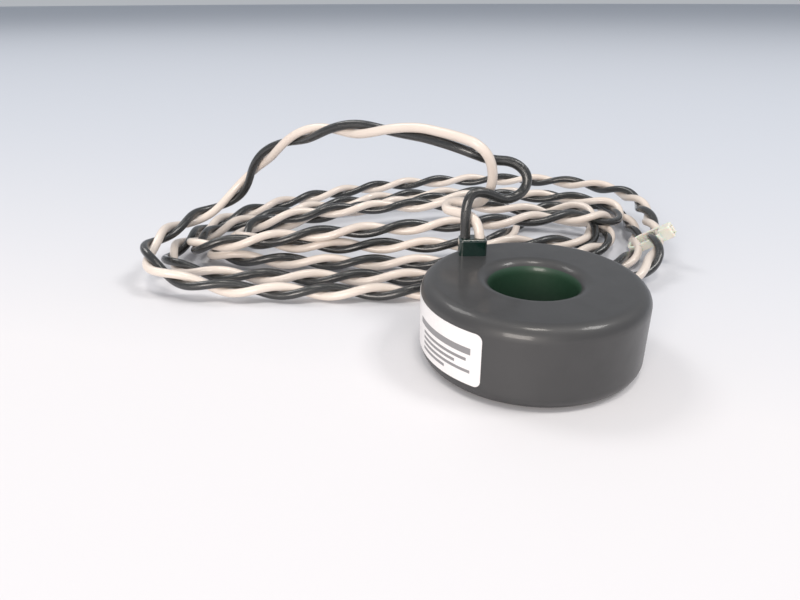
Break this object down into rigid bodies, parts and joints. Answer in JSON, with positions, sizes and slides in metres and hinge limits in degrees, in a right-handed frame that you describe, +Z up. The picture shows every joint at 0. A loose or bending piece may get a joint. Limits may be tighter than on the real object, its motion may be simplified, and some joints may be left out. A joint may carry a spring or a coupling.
{
  "type": "current transformer",
  "caption": "Solid-core ring current transformer for sensing the current in a cable passed through it, with a long twisted pair of leads coiled and tied",
  "frame": {"origin": "On the bore axis, at the face that the body stands on", "axes": "+Z up along the bore axis, which is the body's shortest extent; -Y towards the side that faces the camera in the picture, with the lead block at the rear left"},
  "size_m": [0.1527, 0.1593, 0.0466],
  "materials": {
    "shell_plastic": "fine matt moulded texture",
    "core_strip": "satin rolled strip",
    "case_nylon": "matt",
    "enamelled_copper": "glossy enamel over copper",
    "wrap_tape": "smooth film",
    "board_laminate": "satin solder mask",
    "chip_ceramic": "glazed top",
    "diode_case": "matt",
    "solder": "bright satin",
    "potting_epoxy": "smooth cast",
    "block_plastic": "glossy",
    "label_vinyl": "satin vinyl",
    "black_insulation": "glossy extruded",
    "white_insulation": "satin extruded",
    "pair_insulation": "glossy extruded, one wire black and one cream",
    "tinned_copper": "bright tinned",
    "tie_nylon": "translucent natural nylon"
  },
  "bodies": {
    "root": {"housing": "shell_plastic", "base_cover": "shell_plastic", "strip_core": "core_strip", "core_case": "case_nylon", "core_case_lid": "case_nylon", "secondary_winding": "enamelled_copper", "winding_tails": "enamelled_copper", "winding_wrap": "wrap_tape", "terminal_board": "board_laminate", "burden_resistor": "chip_ceramic", "clamp_diode": "diode_case", "solder_joints": "solder", "potting_compound": "potting_epoxy", "lead_block": "block_plastic", "label": "label_vinyl", "black_lead": "black_insulation", "white_lead": "white_insulation", "twisted_pair": "pair_insulation", "lead_hank": "pair_insulation", "black_tip": "tinned_copper", "white_tip": "tinned_copper", "cable_tie": "tie_nylon"}
  },
  "joints": []
}
